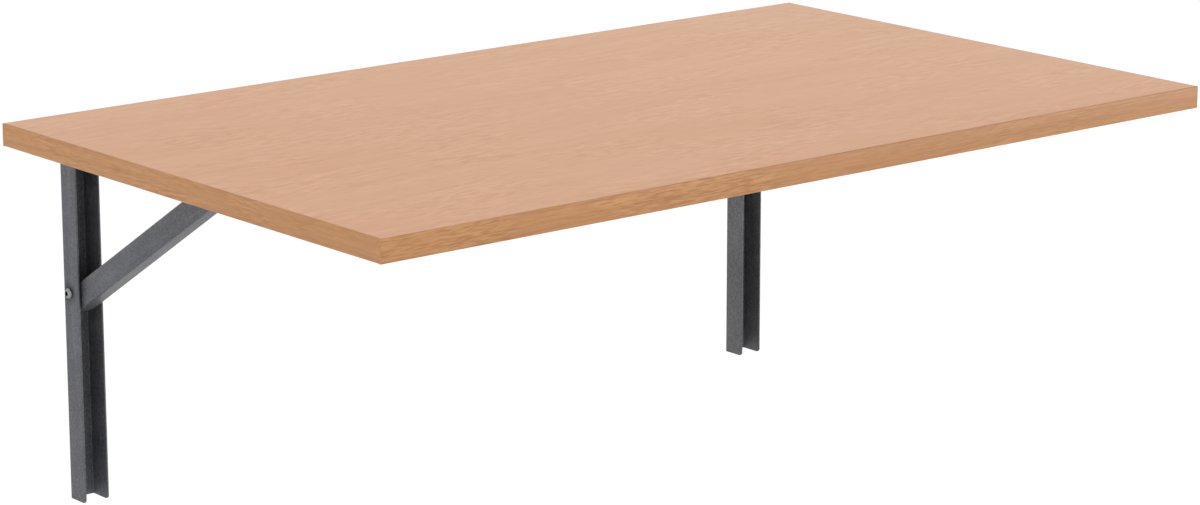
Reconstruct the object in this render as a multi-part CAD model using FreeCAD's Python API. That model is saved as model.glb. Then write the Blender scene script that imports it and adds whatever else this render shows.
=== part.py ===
# Wall mounted drop leaf table.
#
# A laminated leaf hinges on two folding brackets. Each bracket is three nested steel channels:
# the upright is screwed to the wall, the arm is screwed under the leaf and pivots in the upright,
# and the strut pivots in the arm and hooks over a sleeve in the upright to prop the leaf up.
# To fold the table the strut is unhooked and swung into the arm, and the arm drops into the upright.
#
# Frame: millimetres, +Z up. Y = 0 is the wall and the room is on the -Y side. X = 0 is the middle of
# the table. The origin is the middle of the rectangle of wall screw holes.
import FreeCAD, Part
import math
import os

# ---------------------------------------------------------------------- driving dimensions

# Leaf
TOP_LENGTH = 1000.0           # along the wall
TOP_DEPTH = 600.0             # out from the wall
TOP_THICKNESS = 22.0
BAND_THICKNESS = 2.0          # edge banding glued round the board
BAND_EDGE_RADIUS = 1.0
WALL_GAP = 1.0                # rear edge of the leaf to the wall
TOP_SURFACE_HEIGHT = 215.0    # above the middle of the wall holes

# Sheet steel of the brackets
SHEET = 1.5
BEND_INSIDE = 1.0
BRACKET_INSET = 75.0          # end of the leaf to the middle of the nearer bracket
SIDE_CLEARANCE = 0.5          # between nested channels, each side

# Strut
STRUT_WIDTH = 19.0
STRUT_HEIGHT = 23.0           # web to open edges
STRUT_ANGLE = 31.75           # degrees above horizontal when it props the leaf
STRUT_TOP_RADIUS = 6.0        # round the strut's pivot, and its distance to the web
STRUT_SHOULDER_RADIUS = 3.0
STRUT_TIP_RADIUS = 1.5
STRUT_FOOT_DROP = 18.0        # foot of the strut below the hook sleeve's middle
STRUT_FOOT_CLEARANCE = 0.6    # tip of the hook to the web of the upright
NEST_GAP = 1.0                # stowed strut to the web of the arm
STRUT_WALL_CLEARANCE = 3.0    # stowed strut to the web of the upright, leaf folded
STRUT_PIN_DIAMETER = 6.0

# Hook
HOOK_OUT = 10.3               # hook sleeve's middle from the wall
PIVOT_TO_HOOK = 136.75        # hinge pivot down to the hook sleeve
HOOK_IN_EDGE = 3.7            # sleeve's middle below the strut's open edges
HOOK_CLEARANCE = 0.4          # slot round the sleeve
HOOK_UNDERCUT = 12.0          # degrees that the slot leans, so that load draws it home

# Upright
UPRIGHT_LENGTH = 357.0
LEAF_CLEARANCE = 3.0          # folded leaf to the front edges of the upright
UPRIGHT_FOOT_RADIUS = 4.0
WEB_TOP_DROP = 2.0            # top of the web below the hinge pivot
WALL_HOLE_DIAMETER = 6.5
WALL_HOLE_SPACING = 270.0     # highest to lowest hole
WALL_HOLES = 3                # in each upright

# Arm
ARM_DEPTH = 21.0
ARM_SETBACK = 36.0            # front edge of the leaf to the end of the arm
ARM_NOSE_LENGTH = 45.0        # tapered stretch at the outer end
ARM_NOSE_DEPTH = 8.0
ARM_NOSE_RADIUS = 3.0
EAR_CLEARANCE = 1.0           # ear of the arm to the web of the upright
EAR_FLAT = 6.0                # ear's full depth beyond the pivot
EAR_RAMP = 16.0               # stretch over which the ear rises to the arm's depth
EAR_BLEND_RADIUS = 8.0
RELIEF_CLEARANCE = 1.5        # notch in the arm round the hook sleeve, leaf folded
RELIEF_LIP_RADIUS = 1.5
ARM_SCREWS = 3                # in each arm
ARM_SCREW_FIRST = 70.0        # from the wall
ARM_SCREW_END = 60.0          # last screw to the end of the arm

# Fasteners
SLEEVE_DIAMETER = 9.0
SLEEVE_BORE = 6.4
BOLT_DIAMETER = 6.0
BOLT_HOLE = 6.4
BOLT_HEAD_DIAMETER = 10.5
BOLT_HEAD_HEIGHT = 3.3
BOLT_SOCKET = 4.0             # across flats
BOLT_SOCKET_DEPTH = 2.0
BOLT_OVERRUN = 1.5            # thread past the nut
NUT_FLATS = 10.0
NUT_HEIGHT = 6.5
SCREW_DIAMETER = 4.0
SCREW_HEAD_DIAMETER = 8.0
SCREW_LENGTH = 18.0
FIT_CLEARANCE = 0.05          # radial, of a pin in its hole

# ---------------------------------------------------------------------- worked out from them

UP = FreeCAD.Vector(0, 0, 1)
OUT = FreeCAD.Vector(0, -1, 0)
ACROSS = FreeCAD.Vector(1, 0, 0)
SIDES = {"left": -1, "right": 1}

BEND_OUTSIDE = BEND_INSIDE + SHEET
BRACKET_SPACING = TOP_LENGTH - 2 * BRACKET_INSET    # middle to middle
ARM_WIDTH = STRUT_WIDTH + 2 * SIDE_CLEARANCE + 2 * SHEET
UPRIGHT_WIDTH = ARM_WIDTH + 2 * SIDE_CLEARANCE + 2 * SHEET
SLEEVE_LENGTH = UPRIGHT_WIDTH - 2 * SHEET

# Folded, the leaf stands off the wall by the two webs, the strut between them and its gaps.
FOLDED_STANDOFF = 2 * SHEET + STRUT_HEIGHT + NEST_GAP + STRUT_WALL_CLEARANCE
UPRIGHT_DEPTH = FOLDED_STANDOFF - LEAF_CLEARANCE
LOBE_RADIUS = (UPRIGHT_DEPTH - BEND_OUTSIDE) / 2

UNDERSIDE = TOP_SURFACE_HEIGHT - TOP_THICKNESS
PIVOT_OUT = BEND_OUTSIDE + LOBE_RADIUS
PIVOT_HEIGHT = UNDERSIDE - (FOLDED_STANDOFF - PIVOT_OUT)
HOOK_HEIGHT = PIVOT_HEIGHT - PIVOT_TO_HOOK
EAR_RADIUS = PIVOT_OUT - SHEET - EAR_CLEARANCE
UPRIGHT_BOTTOM = PIVOT_HEIGHT + LOBE_RADIUS - UPRIGHT_LENGTH
ARM_REACH = WALL_GAP + TOP_DEPTH - ARM_SETBACK

# The strut's own directions: along it towards its pivot, and from its web to its open edges.
SLOPE = math.radians(STRUT_ANGLE)
STRUT_PIVOT_HEIGHT = UNDERSIDE - SHEET - NEST_GAP - STRUT_TOP_RADIUS
WEB_TO_HOOK = STRUT_HEIGHT - HOOK_IN_EDGE
PIN_BELOW_HOOK_LINE = WEB_TO_HOOK - STRUT_TOP_RADIUS
STRUT_REACH = (
    STRUT_PIVOT_HEIGHT - HOOK_HEIGHT + PIN_BELOW_HOOK_LINE * math.cos(SLOPE)
) / math.sin(SLOPE)
STRUT_PIVOT_OUT = (
    HOOK_OUT + STRUT_REACH * math.cos(SLOPE) + PIN_BELOW_HOOK_LINE * math.sin(SLOPE)
)


# ---------------------------------------------------------------------- shared shapes

def rounded_face(corners, origin, first, second):
    """Face whose corners are (along first, along second, corner radius), measured from origin."""
    count = len(corners)
    points = [origin + first * a + second * b for a, b, radius in corners]
    starts = []
    ends = []
    middles = []
    for index in range(count):
        corner = points[index]
        radius = corners[index][2]
        before = (points[index - 1] - corner).normalize()
        after = (points[(index + 1) % count] - corner).normalize()
        half_angle = before.getAngle(after) / 2
        setback = radius / math.tan(half_angle)
        starts.append(corner + before * setback)
        ends.append(corner + after * setback)
        bisector = (before + after).normalize()
        middles.append(corner + bisector * (radius / math.sin(half_angle) - radius))
    edges = []
    for index in range(count):
        if corners[index][2] > 0:
            edges.append(Part.Arc(starts[index], middles[index], ends[index]).toShape())
        following = starts[(index + 1) % count]
        if (following - ends[index]).Length > 1e-6:
            edges.append(Part.LineSegment(ends[index], following).toShape())
    return Part.Face(Part.Wire(edges))


def side_plate(corners, x_middle, width):
    """Plate across the table, outlined by (out from the wall, height, corner radius) corners."""
    origin = ACROSS * (x_middle - width / 2)
    return rounded_face(corners, origin, OUT, UP).extrude(ACROSS * width)


def channel(width, depth, start, opening, run):
    """Folded U channel: its web's outer face starts at start, its flanges point along opening."""
    half = width / 2
    inner = half - SHEET
    outline = [
        (-half, depth, 0),
        (-half, 0, BEND_OUTSIDE),
        (half, 0, BEND_OUTSIDE),
        (half, depth, 0),
        (inner, depth, 0),
        (inner, SHEET, BEND_INSIDE),
        (-inner, SHEET, BEND_INSIDE),
        (-inner, depth, 0),
    ]
    return rounded_face(outline, start, ACROSS, opening).extrude(run)


def cross_rod(diameter, x_middle, length, out, height):
    """Rod along X, placed by its middle."""
    start = FreeCAD.Vector(x_middle - length / 2, -out, height)
    return Part.makeCylinder(diameter / 2, length, start, ACROSS)


def turned(profile):
    """Solid of revolution about Z from (radius, height) points."""
    points = [FreeCAD.Vector(radius, 0, height) for radius, height in profile]
    wire = Part.makePolygon(points + points[:1])
    return Part.Face(wire).revolve(FreeCAD.Vector(0, 0, 0), UP, 360)


def hexagon(flats, height, base):
    """Hexagonal prism standing on the height base."""
    corner = flats / math.sqrt(3)
    points = []
    for index in range(7):
        turn = math.radians(60 * index)
        points.append(FreeCAD.Vector(corner * math.cos(turn), corner * math.sin(turn), base))
    return Part.Face(Part.makePolygon(points)).extrude(UP * height)


def outward(shape, side, x_face, out, height):
    """Lay a shape made along Z on its side: its Z becomes outward, away from the table's middle."""
    laid = shape.copy()
    laid.rotate(FreeCAD.Vector(0, 0, 0), FreeCAD.Vector(0, 1, 0), 90 * side)
    laid.translate(FreeCAD.Vector(x_face, -out, height))
    return laid


# ---------------------------------------------------------------------- leaf

def leaf_box(x_size, y_size, x_low, out_low):
    """Box of the leaf's thickness."""
    corner = FreeCAD.Vector(x_low, -out_low - y_size, UNDERSIDE)
    return Part.makeBox(x_size, y_size, TOP_THICKNESS, corner)


def make_board():
    """Laminated board inside its edge banding, with blind pilot holes for the arm screws."""
    board = leaf_box(
        TOP_LENGTH - 2 * BAND_THICKNESS,
        TOP_DEPTH - 2 * BAND_THICKNESS,
        BAND_THICKNESS - TOP_LENGTH / 2,
        WALL_GAP + BAND_THICKNESS,
    )
    holes = []
    for side in SIDES.values():
        for out in arm_screw_places():
            holes.append(screw_shape(bracket_middle(side), out, FIT_CLEARANCE))
    return board.cut(holes)


def band_radius():
    """Rounding of the banding's long edges, which its thickness limits."""
    return min(BAND_EDGE_RADIUS, 0.9 * BAND_THICKNESS)


def soften(band, face_axis, face_value):
    """Round the long edges of a band that lie on its outer face."""
    edges = []
    for edge in band.Edges:
        middle = edge.CenterOfMass
        on_face = abs(middle[face_axis] - face_value) < 1e-6
        level = abs(edge.Vertexes[0].Point.z - edge.Vertexes[-1].Point.z) < 1e-6
        if on_face and level:
            edges.append(edge)
    return band.makeFillet(band_radius(), edges)


def make_long_band(out_low, face_out):
    """Front or rear band, as long as the leaf."""
    band = leaf_box(TOP_LENGTH, BAND_THICKNESS, -TOP_LENGTH / 2, out_low)
    return soften(band, 1, -face_out)


def make_end_band(side):
    """Left or right band, between the front and rear bands."""
    x_face = side * TOP_LENGTH / 2
    x_low = min(x_face, x_face - side * BAND_THICKNESS)
    depth = TOP_DEPTH - 2 * BAND_THICKNESS
    band = leaf_box(BAND_THICKNESS, depth, x_low, WALL_GAP + BAND_THICKNESS)
    return soften(band, 0, x_face)


# ---------------------------------------------------------------------- brackets

def make_upright(x_middle):
    """Wall channel with rounded lobes round the hinge pivot and a row of wall holes in its web."""
    start = FreeCAD.Vector(x_middle, 0, UPRIGHT_BOTTOM)
    blank = channel(UPRIGHT_WIDTH, UPRIGHT_DEPTH, start, OUT, UP * UPRIGHT_LENGTH)
    lobe_top = PIVOT_HEIGHT + LOBE_RADIUS
    web_top = PIVOT_HEIGHT - WEB_TOP_DROP
    outline = [
        (0, UPRIGHT_BOTTOM, 0),
        (UPRIGHT_DEPTH, UPRIGHT_BOTTOM, UPRIGHT_FOOT_RADIUS),
        (UPRIGHT_DEPTH, lobe_top, LOBE_RADIUS),
        (BEND_OUTSIDE, lobe_top, LOBE_RADIUS),
        (BEND_OUTSIDE, web_top, 0),
        (0, web_top, 0),
    ]
    upright = blank.common(side_plate(outline, x_middle, UPRIGHT_WIDTH))
    holes = [
        cross_rod(BOLT_HOLE, x_middle, UPRIGHT_WIDTH, PIVOT_OUT, PIVOT_HEIGHT),
        cross_rod(BOLT_HOLE, x_middle, UPRIGHT_WIDTH, HOOK_OUT, HOOK_HEIGHT),
    ]
    for index in range(WALL_HOLES):
        height = WALL_HOLE_SPACING * (index / max(WALL_HOLES - 1, 1) - 0.5)
        base = FreeCAD.Vector(x_middle, 0, height)
        holes.append(Part.makeCylinder(WALL_HOLE_DIAMETER / 2, SHEET, base, OUT))
    return upright.cut(holes)


def arm_screw_places():
    """Distances of the arm's screws from the wall."""
    last = ARM_REACH - ARM_SCREW_END
    step = (last - ARM_SCREW_FIRST) / max(ARM_SCREWS - 1, 1)
    return [ARM_SCREW_FIRST + step * index for index in range(ARM_SCREWS)]


def make_arm(x_middle):
    """Channel under the leaf, with an ear round the hinge pivot and a notch for the hook sleeve."""
    inner_end = PIVOT_OUT - EAR_RADIUS
    start = FreeCAD.Vector(x_middle, -inner_end, UNDERSIDE)
    ear_bottom = PIVOT_HEIGHT - EAR_RADIUS
    blank_depth = UNDERSIDE - ear_bottom
    blank = channel(ARM_WIDTH, blank_depth, start, -UP, OUT * (ARM_REACH - inner_end))
    edge = UNDERSIDE - ARM_DEPTH
    relief_out = PIVOT_OUT + PIVOT_TO_HOOK
    relief_height = PIVOT_HEIGHT - (PIVOT_OUT - HOOK_OUT)
    relief_radius = SLEEVE_DIAMETER / 2 + RELIEF_CLEARANCE
    relief_top = relief_height + relief_radius
    ear_end = PIVOT_OUT + EAR_FLAT
    outline = [
        (inner_end, UNDERSIDE, 0),
        (inner_end, ear_bottom, EAR_RADIUS),
        (ear_end, ear_bottom, EAR_BLEND_RADIUS),
        (ear_end + EAR_RAMP, edge, EAR_BLEND_RADIUS),
        (relief_out - relief_radius, edge, RELIEF_LIP_RADIUS),
        (relief_out - relief_radius, relief_top, relief_radius),
        (relief_out + relief_radius, relief_top, relief_radius),
        (relief_out + relief_radius, edge, RELIEF_LIP_RADIUS),
        (ARM_REACH - ARM_NOSE_LENGTH, edge, EAR_BLEND_RADIUS),
        (ARM_REACH, UNDERSIDE - ARM_NOSE_DEPTH, ARM_NOSE_RADIUS),
        (ARM_REACH, UNDERSIDE, 0),
    ]
    arm = blank.common(side_plate(outline, x_middle, ARM_WIDTH))
    sleeve_hole = SLEEVE_DIAMETER + 2 * FIT_CLEARANCE
    cutters = [
        cross_rod(sleeve_hole, x_middle, ARM_WIDTH, PIVOT_OUT, PIVOT_HEIGHT),
        strut_pin(x_middle),
    ]
    for out in arm_screw_places():
        cutters.append(screw_shape(x_middle, out, FIT_CLEARANCE))
    return arm.cut(cutters)


def strut_pin(x_middle):
    """Rivet pressed into both flanges of the arm and flush with them."""
    return cross_rod(STRUT_PIN_DIAMETER, x_middle, ARM_WIDTH, STRUT_PIVOT_OUT, STRUT_PIVOT_HEIGHT)


def screw_shape(x_middle, out, extra):
    """Countersunk wood screw up through the arm's web into the board; extra widens it for its hole."""
    screw = turned([
        (0, 0),
        (SCREW_HEAD_DIAMETER / 2 + extra, 0),
        (SCREW_DIAMETER / 2 + extra, SHEET),
        (SCREW_DIAMETER / 2 + extra, SCREW_LENGTH + extra),
        (0, SCREW_LENGTH + extra),
    ])
    screw.translate(FreeCAD.Vector(x_middle, -out, UNDERSIDE - SHEET))
    return screw


def make_strut(x_middle):
    """Channel that props the leaf: pivoted in the arm, with a leaning hook slot at its foot."""
    along = OUT * math.cos(SLOPE) + UP * math.sin(SLOPE)
    to_edges = UP * math.cos(SLOPE) - OUT * math.sin(SLOPE)
    hook = FreeCAD.Vector(x_middle, -HOOK_OUT, HOOK_HEIGHT)
    overrun = 2 * STRUT_HEIGHT
    start = hook - to_edges * WEB_TO_HOOK - along * overrun
    run = along * (STRUT_REACH + 2 * overrun)
    blank = channel(STRUT_WIDTH, STRUT_HEIGHT, start, to_edges, run)

    def out_at(height, offset):
        """Distance out of a line parallel to the strut, offset from the hook towards its edges."""
        rise = height - HOOK_HEIGHT
        return HOOK_OUT + (rise - offset / math.cos(SLOPE)) / math.tan(SLOPE)

    foot = HOOK_HEIGHT - STRUT_FOOT_DROP
    shoulder = STRUT_PIVOT_HEIGHT + STRUT_TOP_RADIUS
    tip_out = SHEET + STRUT_FOOT_CLEARANCE
    tip_top = HOOK_HEIGHT + (tip_out - HOOK_OUT) * math.tan(SLOPE) + HOOK_IN_EDGE / math.cos(SLOPE)
    outline = [
        (tip_out, foot, STRUT_TIP_RADIUS),
        (out_at(foot, -WEB_TO_HOOK), foot, 0),
        (out_at(shoulder, -WEB_TO_HOOK), shoulder, STRUT_TOP_RADIUS),
        (out_at(shoulder, HOOK_IN_EDGE), shoulder, STRUT_SHOULDER_RADIUS),
        (tip_out, tip_top, STRUT_TIP_RADIUS),
    ]
    strut = blank.common(side_plate(outline, x_middle, STRUT_WIDTH))

    slot_radius = SLEEVE_DIAMETER / 2 + HOOK_CLEARANCE
    lean = math.radians(HOOK_UNDERCUT)
    slot_open = to_edges * math.cos(lean) - along * math.sin(lean)
    slot_side = along * math.cos(lean) + to_edges * math.sin(lean)
    slot_end = HOOK_IN_EDGE + 2 * slot_radius
    slot_outline = [
        (-slot_radius, slot_end, 0),
        (-slot_radius, -slot_radius, slot_radius),
        (slot_radius, -slot_radius, slot_radius),
        (slot_radius, slot_end, 0),
    ]
    slot_origin = hook - ACROSS * (STRUT_WIDTH / 2)
    slot = rounded_face(slot_outline, slot_origin, slot_side, slot_open).extrude(ACROSS * STRUT_WIDTH)
    pin_hole = cross_rod(
        STRUT_PIN_DIAMETER + 2 * FIT_CLEARANCE,
        x_middle,
        STRUT_WIDTH,
        STRUT_PIVOT_OUT,
        STRUT_PIVOT_HEIGHT,
    )
    return strut.cut([slot, pin_hole])


# ---------------------------------------------------------------------- bolts, sleeves and nuts

def make_sleeve(x_middle, out, height):
    """Steel sleeve that spans the inside of the upright round a bolt."""
    body = cross_rod(SLEEVE_DIAMETER, x_middle, SLEEVE_LENGTH, out, height)
    return body.cut(cross_rod(SLEEVE_BORE, x_middle, SLEEVE_LENGTH, out, height))


def make_bolt(side, x_middle, out, height):
    """Button head socket bolt, its head on the outer flange of the upright."""
    length = UPRIGHT_WIDTH + NUT_HEIGHT + BOLT_OVERRUN
    body = turned([
        (0, -length),
        (BOLT_DIAMETER / 2, -length),
        (BOLT_DIAMETER / 2, 0),
        (BOLT_HEAD_DIAMETER / 2, 0),
        (BOLT_HEAD_DIAMETER / 2, BOLT_HEAD_HEIGHT),
        (0, BOLT_HEAD_HEIGHT),
    ])
    socket = hexagon(BOLT_SOCKET, BOLT_SOCKET_DEPTH, BOLT_HEAD_HEIGHT - BOLT_SOCKET_DEPTH)
    return outward(body.cut(socket), side, x_middle + side * UPRIGHT_WIDTH / 2, out, height)


def make_nut(side, x_middle, out, height):
    """Nut on the inner flange of the upright."""
    bore = Part.makeCylinder(BOLT_DIAMETER / 2 + FIT_CLEARANCE, NUT_HEIGHT)
    nut = hexagon(NUT_FLATS, NUT_HEIGHT, 0).cut(bore)
    return outward(nut, -side, x_middle - side * UPRIGHT_WIDTH / 2, out, height)


# ---------------------------------------------------------------------- the table

def bracket_middle(side):
    """Middle of a bracket along the wall."""
    return side * BRACKET_SPACING / 2


def make_nodes():
    """Every separate piece of the table, by name. Identical fasteners share a name."""
    front_out = WALL_GAP + TOP_DEPTH
    nodes = {
        "tabletop_board": make_board(),
        "rear_edge_band": make_long_band(WALL_GAP, WALL_GAP),
        "front_edge_band": make_long_band(front_out - BAND_THICKNESS, front_out),
    }
    for name, side in SIDES.items():
        x_middle = bracket_middle(side)
        nodes[name + "_edge_band"] = make_end_band(side)
        nodes[name + "_upright"] = make_upright(x_middle)
        nodes[name + "_arm"] = make_arm(x_middle)
        nodes[name + "_strut"] = make_strut(x_middle)
        nodes[name + "_strut_pin"] = strut_pin(x_middle)
        screws = [screw_shape(x_middle, out, 0) for out in arm_screw_places()]
        nodes[name + "_arm_screws"] = Part.makeCompound(screws)
    axes = {
        "hinge": (PIVOT_OUT, PIVOT_HEIGHT),
        "hook": (HOOK_OUT, HOOK_HEIGHT),
    }
    for use, (out, height) in axes.items():
        pairs = {"bolts": [], "sleeves": [], "nuts": []}
        for side in SIDES.values():
            x_middle = bracket_middle(side)
            pairs["bolts"].append(make_bolt(side, x_middle, out, height))
            pairs["sleeves"].append(make_sleeve(x_middle, out, height))
            pairs["nuts"].append(make_nut(side, x_middle, out, height))
        for kind, pair in pairs.items():
            nodes[use + "_" + kind] = Part.makeCompound(pair)
    return nodes


os.makedirs("parts", exist_ok=True)
for node, shape in make_nodes().items():
    shape.exportStep("parts/" + node + ".step")
    print(node, len(shape.Solids), "solid(s), valid", shape.isValid(), "volume", round(shape.Volume))
print("strut pivot", round(STRUT_PIVOT_OUT, 3), round(STRUT_PIVOT_HEIGHT, 3))
print("hinge pivot", round(PIVOT_OUT, 3), round(PIVOT_HEIGHT, 3))
print("hook sleeve", round(HOOK_OUT, 3), round(HOOK_HEIGHT, 3))
print("upright", round(UPRIGHT_WIDTH, 3), "wide", round(UPRIGHT_DEPTH, 3), "deep")
print("strut from hook to pivot", round(math.hypot(STRUT_REACH, PIN_BELOW_HOOK_LINE), 3))
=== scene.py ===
# %% [markdown]
# # A wall mounted drop leaf table
#
# A laminated leaf on two folding steel brackets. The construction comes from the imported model, which
# is loaded as a fixed frame. This file gives it its finishes and the detail of its fasteners, and
# everything stays in metres, in the frame's own place, so no piece is ever fitted by eye.

import math

import bmesh
import bpy
import numpy as np
from mathutils import Euler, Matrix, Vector


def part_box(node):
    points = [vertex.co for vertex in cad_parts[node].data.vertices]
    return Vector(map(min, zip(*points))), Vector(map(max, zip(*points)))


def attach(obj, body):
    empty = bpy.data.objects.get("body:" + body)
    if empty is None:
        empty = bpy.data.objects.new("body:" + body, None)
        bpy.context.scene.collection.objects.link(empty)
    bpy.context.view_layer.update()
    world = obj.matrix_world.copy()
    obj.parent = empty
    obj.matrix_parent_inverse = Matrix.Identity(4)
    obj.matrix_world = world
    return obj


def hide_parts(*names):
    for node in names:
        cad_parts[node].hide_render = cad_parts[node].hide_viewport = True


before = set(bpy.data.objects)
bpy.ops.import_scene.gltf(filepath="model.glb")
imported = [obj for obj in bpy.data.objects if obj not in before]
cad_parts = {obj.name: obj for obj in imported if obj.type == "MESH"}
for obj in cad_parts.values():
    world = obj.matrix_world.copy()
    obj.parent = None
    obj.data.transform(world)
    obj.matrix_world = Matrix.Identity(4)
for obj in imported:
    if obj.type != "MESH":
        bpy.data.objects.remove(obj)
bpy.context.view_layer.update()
MM = 0.001

# %% [markdown]
# ## The camera
#
# The table is seen from in front of its left end, a little above the leaf. A camera four metres away
# with a long lens keeps the leaf's long edges almost parallel, as a catalogue does. The camera could
# be aimed with a tracking constraint, but a plain place and three angles say the same and need
# nothing else in the scene.

# %% Camera
CAMERA_PLACE = (-2.3813, -3.1678, 0.9896)
CAMERA_ANGLES = (76.1052, 0.0191, -39.5204)
CAMERA_LENS = 118.31
SENSOR_WIDTH = 36.0

camera_data = bpy.data.cameras.new("camera")
camera_data.sensor_width = SENSOR_WIDTH
camera_data.lens = CAMERA_LENS
camera = bpy.data.objects.new("camera", camera_data)
camera.location = CAMERA_PLACE
camera.rotation_euler = Euler([math.radians(angle) for angle in CAMERA_ANGLES])
bpy.context.scene.collection.objects.link(camera)
bpy.context.scene.camera = camera
print("camera:", CAMERA_LENS, "mm lens")

# %% [markdown]
# ## Colours and nodes
#
# Colours are written as the hex codes that a paint chart or a picture editor gives, which are sRGB.
# Blender's shaders work in linear light, so one function turns the one into the other. The linear
# numbers could be typed in, but nobody sees a colour in them. One more function adds a node: its own
# settings go in by name, and its inputs are given as values or as the sockets that feed them, so each
# material below reads from top to bottom like a recipe.

# %% Colours and nodes
def linear(code):
    """Linear RGBA of an sRGB hex colour: c / 12.92 where dark, ((c + 0.055) / 1.055) ^ 2.4 elsewhere."""
    srgb = np.array([int(code[at:at + 2], 16) for at in (1, 3, 5)]) / 255
    light = np.where(srgb <= 0.04045, srgb / 12.92, ((srgb + 0.055) / 1.055) ** 2.4)
    return (*light.tolist(), 1.0)


def add(tree, kind, inputs=None, **settings):
    """Adds a node with its settings. Inputs are a dict of socket name or number to a value or a socket."""
    node = tree.nodes.new(kind)
    for name, value in settings.items():
        setattr(node, name, value)
    for name, value in (inputs or {}).items():
        if isinstance(value, bpy.types.NodeSocket):
            tree.links.new(value, node.inputs[name])
        else:
            node.inputs[name].default_value = value
    return node


def new_material(name):
    """An empty node material, and its tree."""
    material = bpy.data.materials.new(name)
    material.use_nodes = True
    material.node_tree.nodes.clear()
    return material, material.node_tree


WHITE = linear("#ffffff")
print("white is", WHITE)

# %% [markdown]
# ## Light and floor
#
# A product on white is lit by large soft lights from every side over a pale floor, so shadows have
# no edges and the floor runs out to white. A dome of even light does most of that. A panorama of a
# real studio could light it too, but it is a file to carry along, and its lamps show in every bolt.
# The floor lies one table height below the leaf. It glows very faintly, so that the leaf's shade on
# it stays faint, and it is clear from below, so that the underside of the table can be looked at too.

# %% Dome of light
DOME_STRENGTH = 1.0

world = bpy.data.worlds.new("studio")
world.use_nodes = True
world.node_tree.nodes["Background"].inputs["Color"].default_value = WHITE
world.node_tree.nodes["Background"].inputs["Strength"].default_value = DOME_STRENGTH
bpy.context.scene.world = world
bpy.context.scene.view_settings.view_transform = "Standard"
print("dome of strength", DOME_STRENGTH)

# %% Floor
TABLE_HEIGHT = 0.75
FLOOR_REACH = 80.0
FLOOR_GLOW = 0.08

leaf_low, leaf_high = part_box("tabletop_board")
floor_height = leaf_high.z - TABLE_HEIGHT
floor_mesh = bpy.data.meshes.new("floor")
floor_mesh.from_pydata(
    [(x * FLOOR_REACH, y * FLOOR_REACH, floor_height) for x, y in ((-1, -1), (1, -1), (1, 1), (-1, 1))],
    [], [(0, 1, 2, 3)])
floor = bpy.data.objects.new("floor", floor_mesh)
bpy.context.scene.collection.objects.link(floor)

floor_paint, tree = new_material("matt_white_floor")
geometry = add(tree, "ShaderNodeNewGeometry")
matt = add(tree, "ShaderNodeBsdfDiffuse", {"Color": linear("#f6f6f6")})
glow = add(tree, "ShaderNodeEmission", {"Color": WHITE, "Strength": FLOOR_GLOW})
lit = add(tree, "ShaderNodeAddShader", {0: matt.outputs[0], 1: glow.outputs[0]})
clear = add(tree, "ShaderNodeBsdfTransparent")
sided = add(tree, "ShaderNodeMixShader",
            {0: geometry.outputs["Backfacing"], 1: lit.outputs[0], 2: clear.outputs[0]})
add(tree, "ShaderNodeOutputMaterial", {"Surface": sided.outputs[0]})
floor_mesh.materials.append(floor_paint)
print("floor at", round(floor_height, 3), "m")

# %% [markdown]
# ## Light panels
#
# Under an even dome every side of a steel channel would be the same grey. Two weak broad panels stand
# low and far off, to the left and in front of the right end. They lift the sides that face them and
# leave the insides of the channels dark. A sun lamp would do that too, but it would draw hard shadows.

# %% Light panels
PANEL_SIZE = 3.0
PANELS = {"left_panel": (62.0, (-6.0, 0.6, -0.8)), "right_panel": (185.0, (6.0, -4.0, 0.4))}

for name, (watts, place) in PANELS.items():
    panel_data = bpy.data.lights.new(name, "AREA")
    panel_data.size = PANEL_SIZE
    panel_data.energy = watts
    panel = bpy.data.objects.new(name, panel_data)
    panel.location = place
    panel.rotation_euler = (-Vector(place)).to_track_quat("-Z", "Y").to_euler()
    bpy.context.scene.collection.objects.link(panel)
    print(name, "of", watts, "W,", round(Vector(place).length, 1), "m away")

# %% [markdown]
# ## Noise that follows the grain
#
# Wood, and a print of it, is made of marks that are long with the grain and narrow across it. A
# picture could be wrapped on the board, but noise that is stretched along the grain has no repeats
# and no seams. The grain runs along X once the coordinates are turned. It is never quite straight, so
# a broad noise first pushes the coordinates sideways, and all finer marks follow that push together.

# %% Noise along the grain
WANDER_WAVES = (2.2, 4.5)
WANDER_LINES = 6


def grain_noise(tree, place, along, across, detail, rough=0.5):
    """A noise from about 0.3 to 0.7: in each metre, along waves with the grain and across waves over it."""
    stretched = add(tree, "ShaderNodeMapping", {"Vector": place, "Scale": (along, across, across)})
    return add(tree, "ShaderNodeTexNoise",
               {"Vector": stretched.outputs[0], "Scale": 1.0, "Detail": detail, "Roughness": rough})


def grown_place(tree, turn, spacing):
    """Object coordinates turned to the grain, plus (noise - 0.5) * WANDER_LINES * spacing over it."""
    place = add(tree, "ShaderNodeTexCoord").outputs["Object"]
    turned = add(tree, "ShaderNodeMapping",
                 {"Vector": place, "Rotation": [math.radians(angle) for angle in turn]}).outputs[0]
    wander = grain_noise(tree, turned, *WANDER_WAVES, 2.0)
    centred = add(tree, "ShaderNodeVectorMath", {0: wander.outputs["Color"], 1: (0.5, 0.5, 0.5)},
                  operation="SUBTRACT")
    reach = WANDER_LINES * spacing
    pushed = add(tree, "ShaderNodeVectorMath", {0: centred.outputs[0], 1: (0.0, reach, reach)},
                 operation="MULTIPLY")
    return add(tree, "ShaderNodeVectorMath", {0: turned, 1: pushed.outputs[0]}).outputs[0]


print("the grain wanders", WANDER_WAVES[0], "times in each metre")

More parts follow.
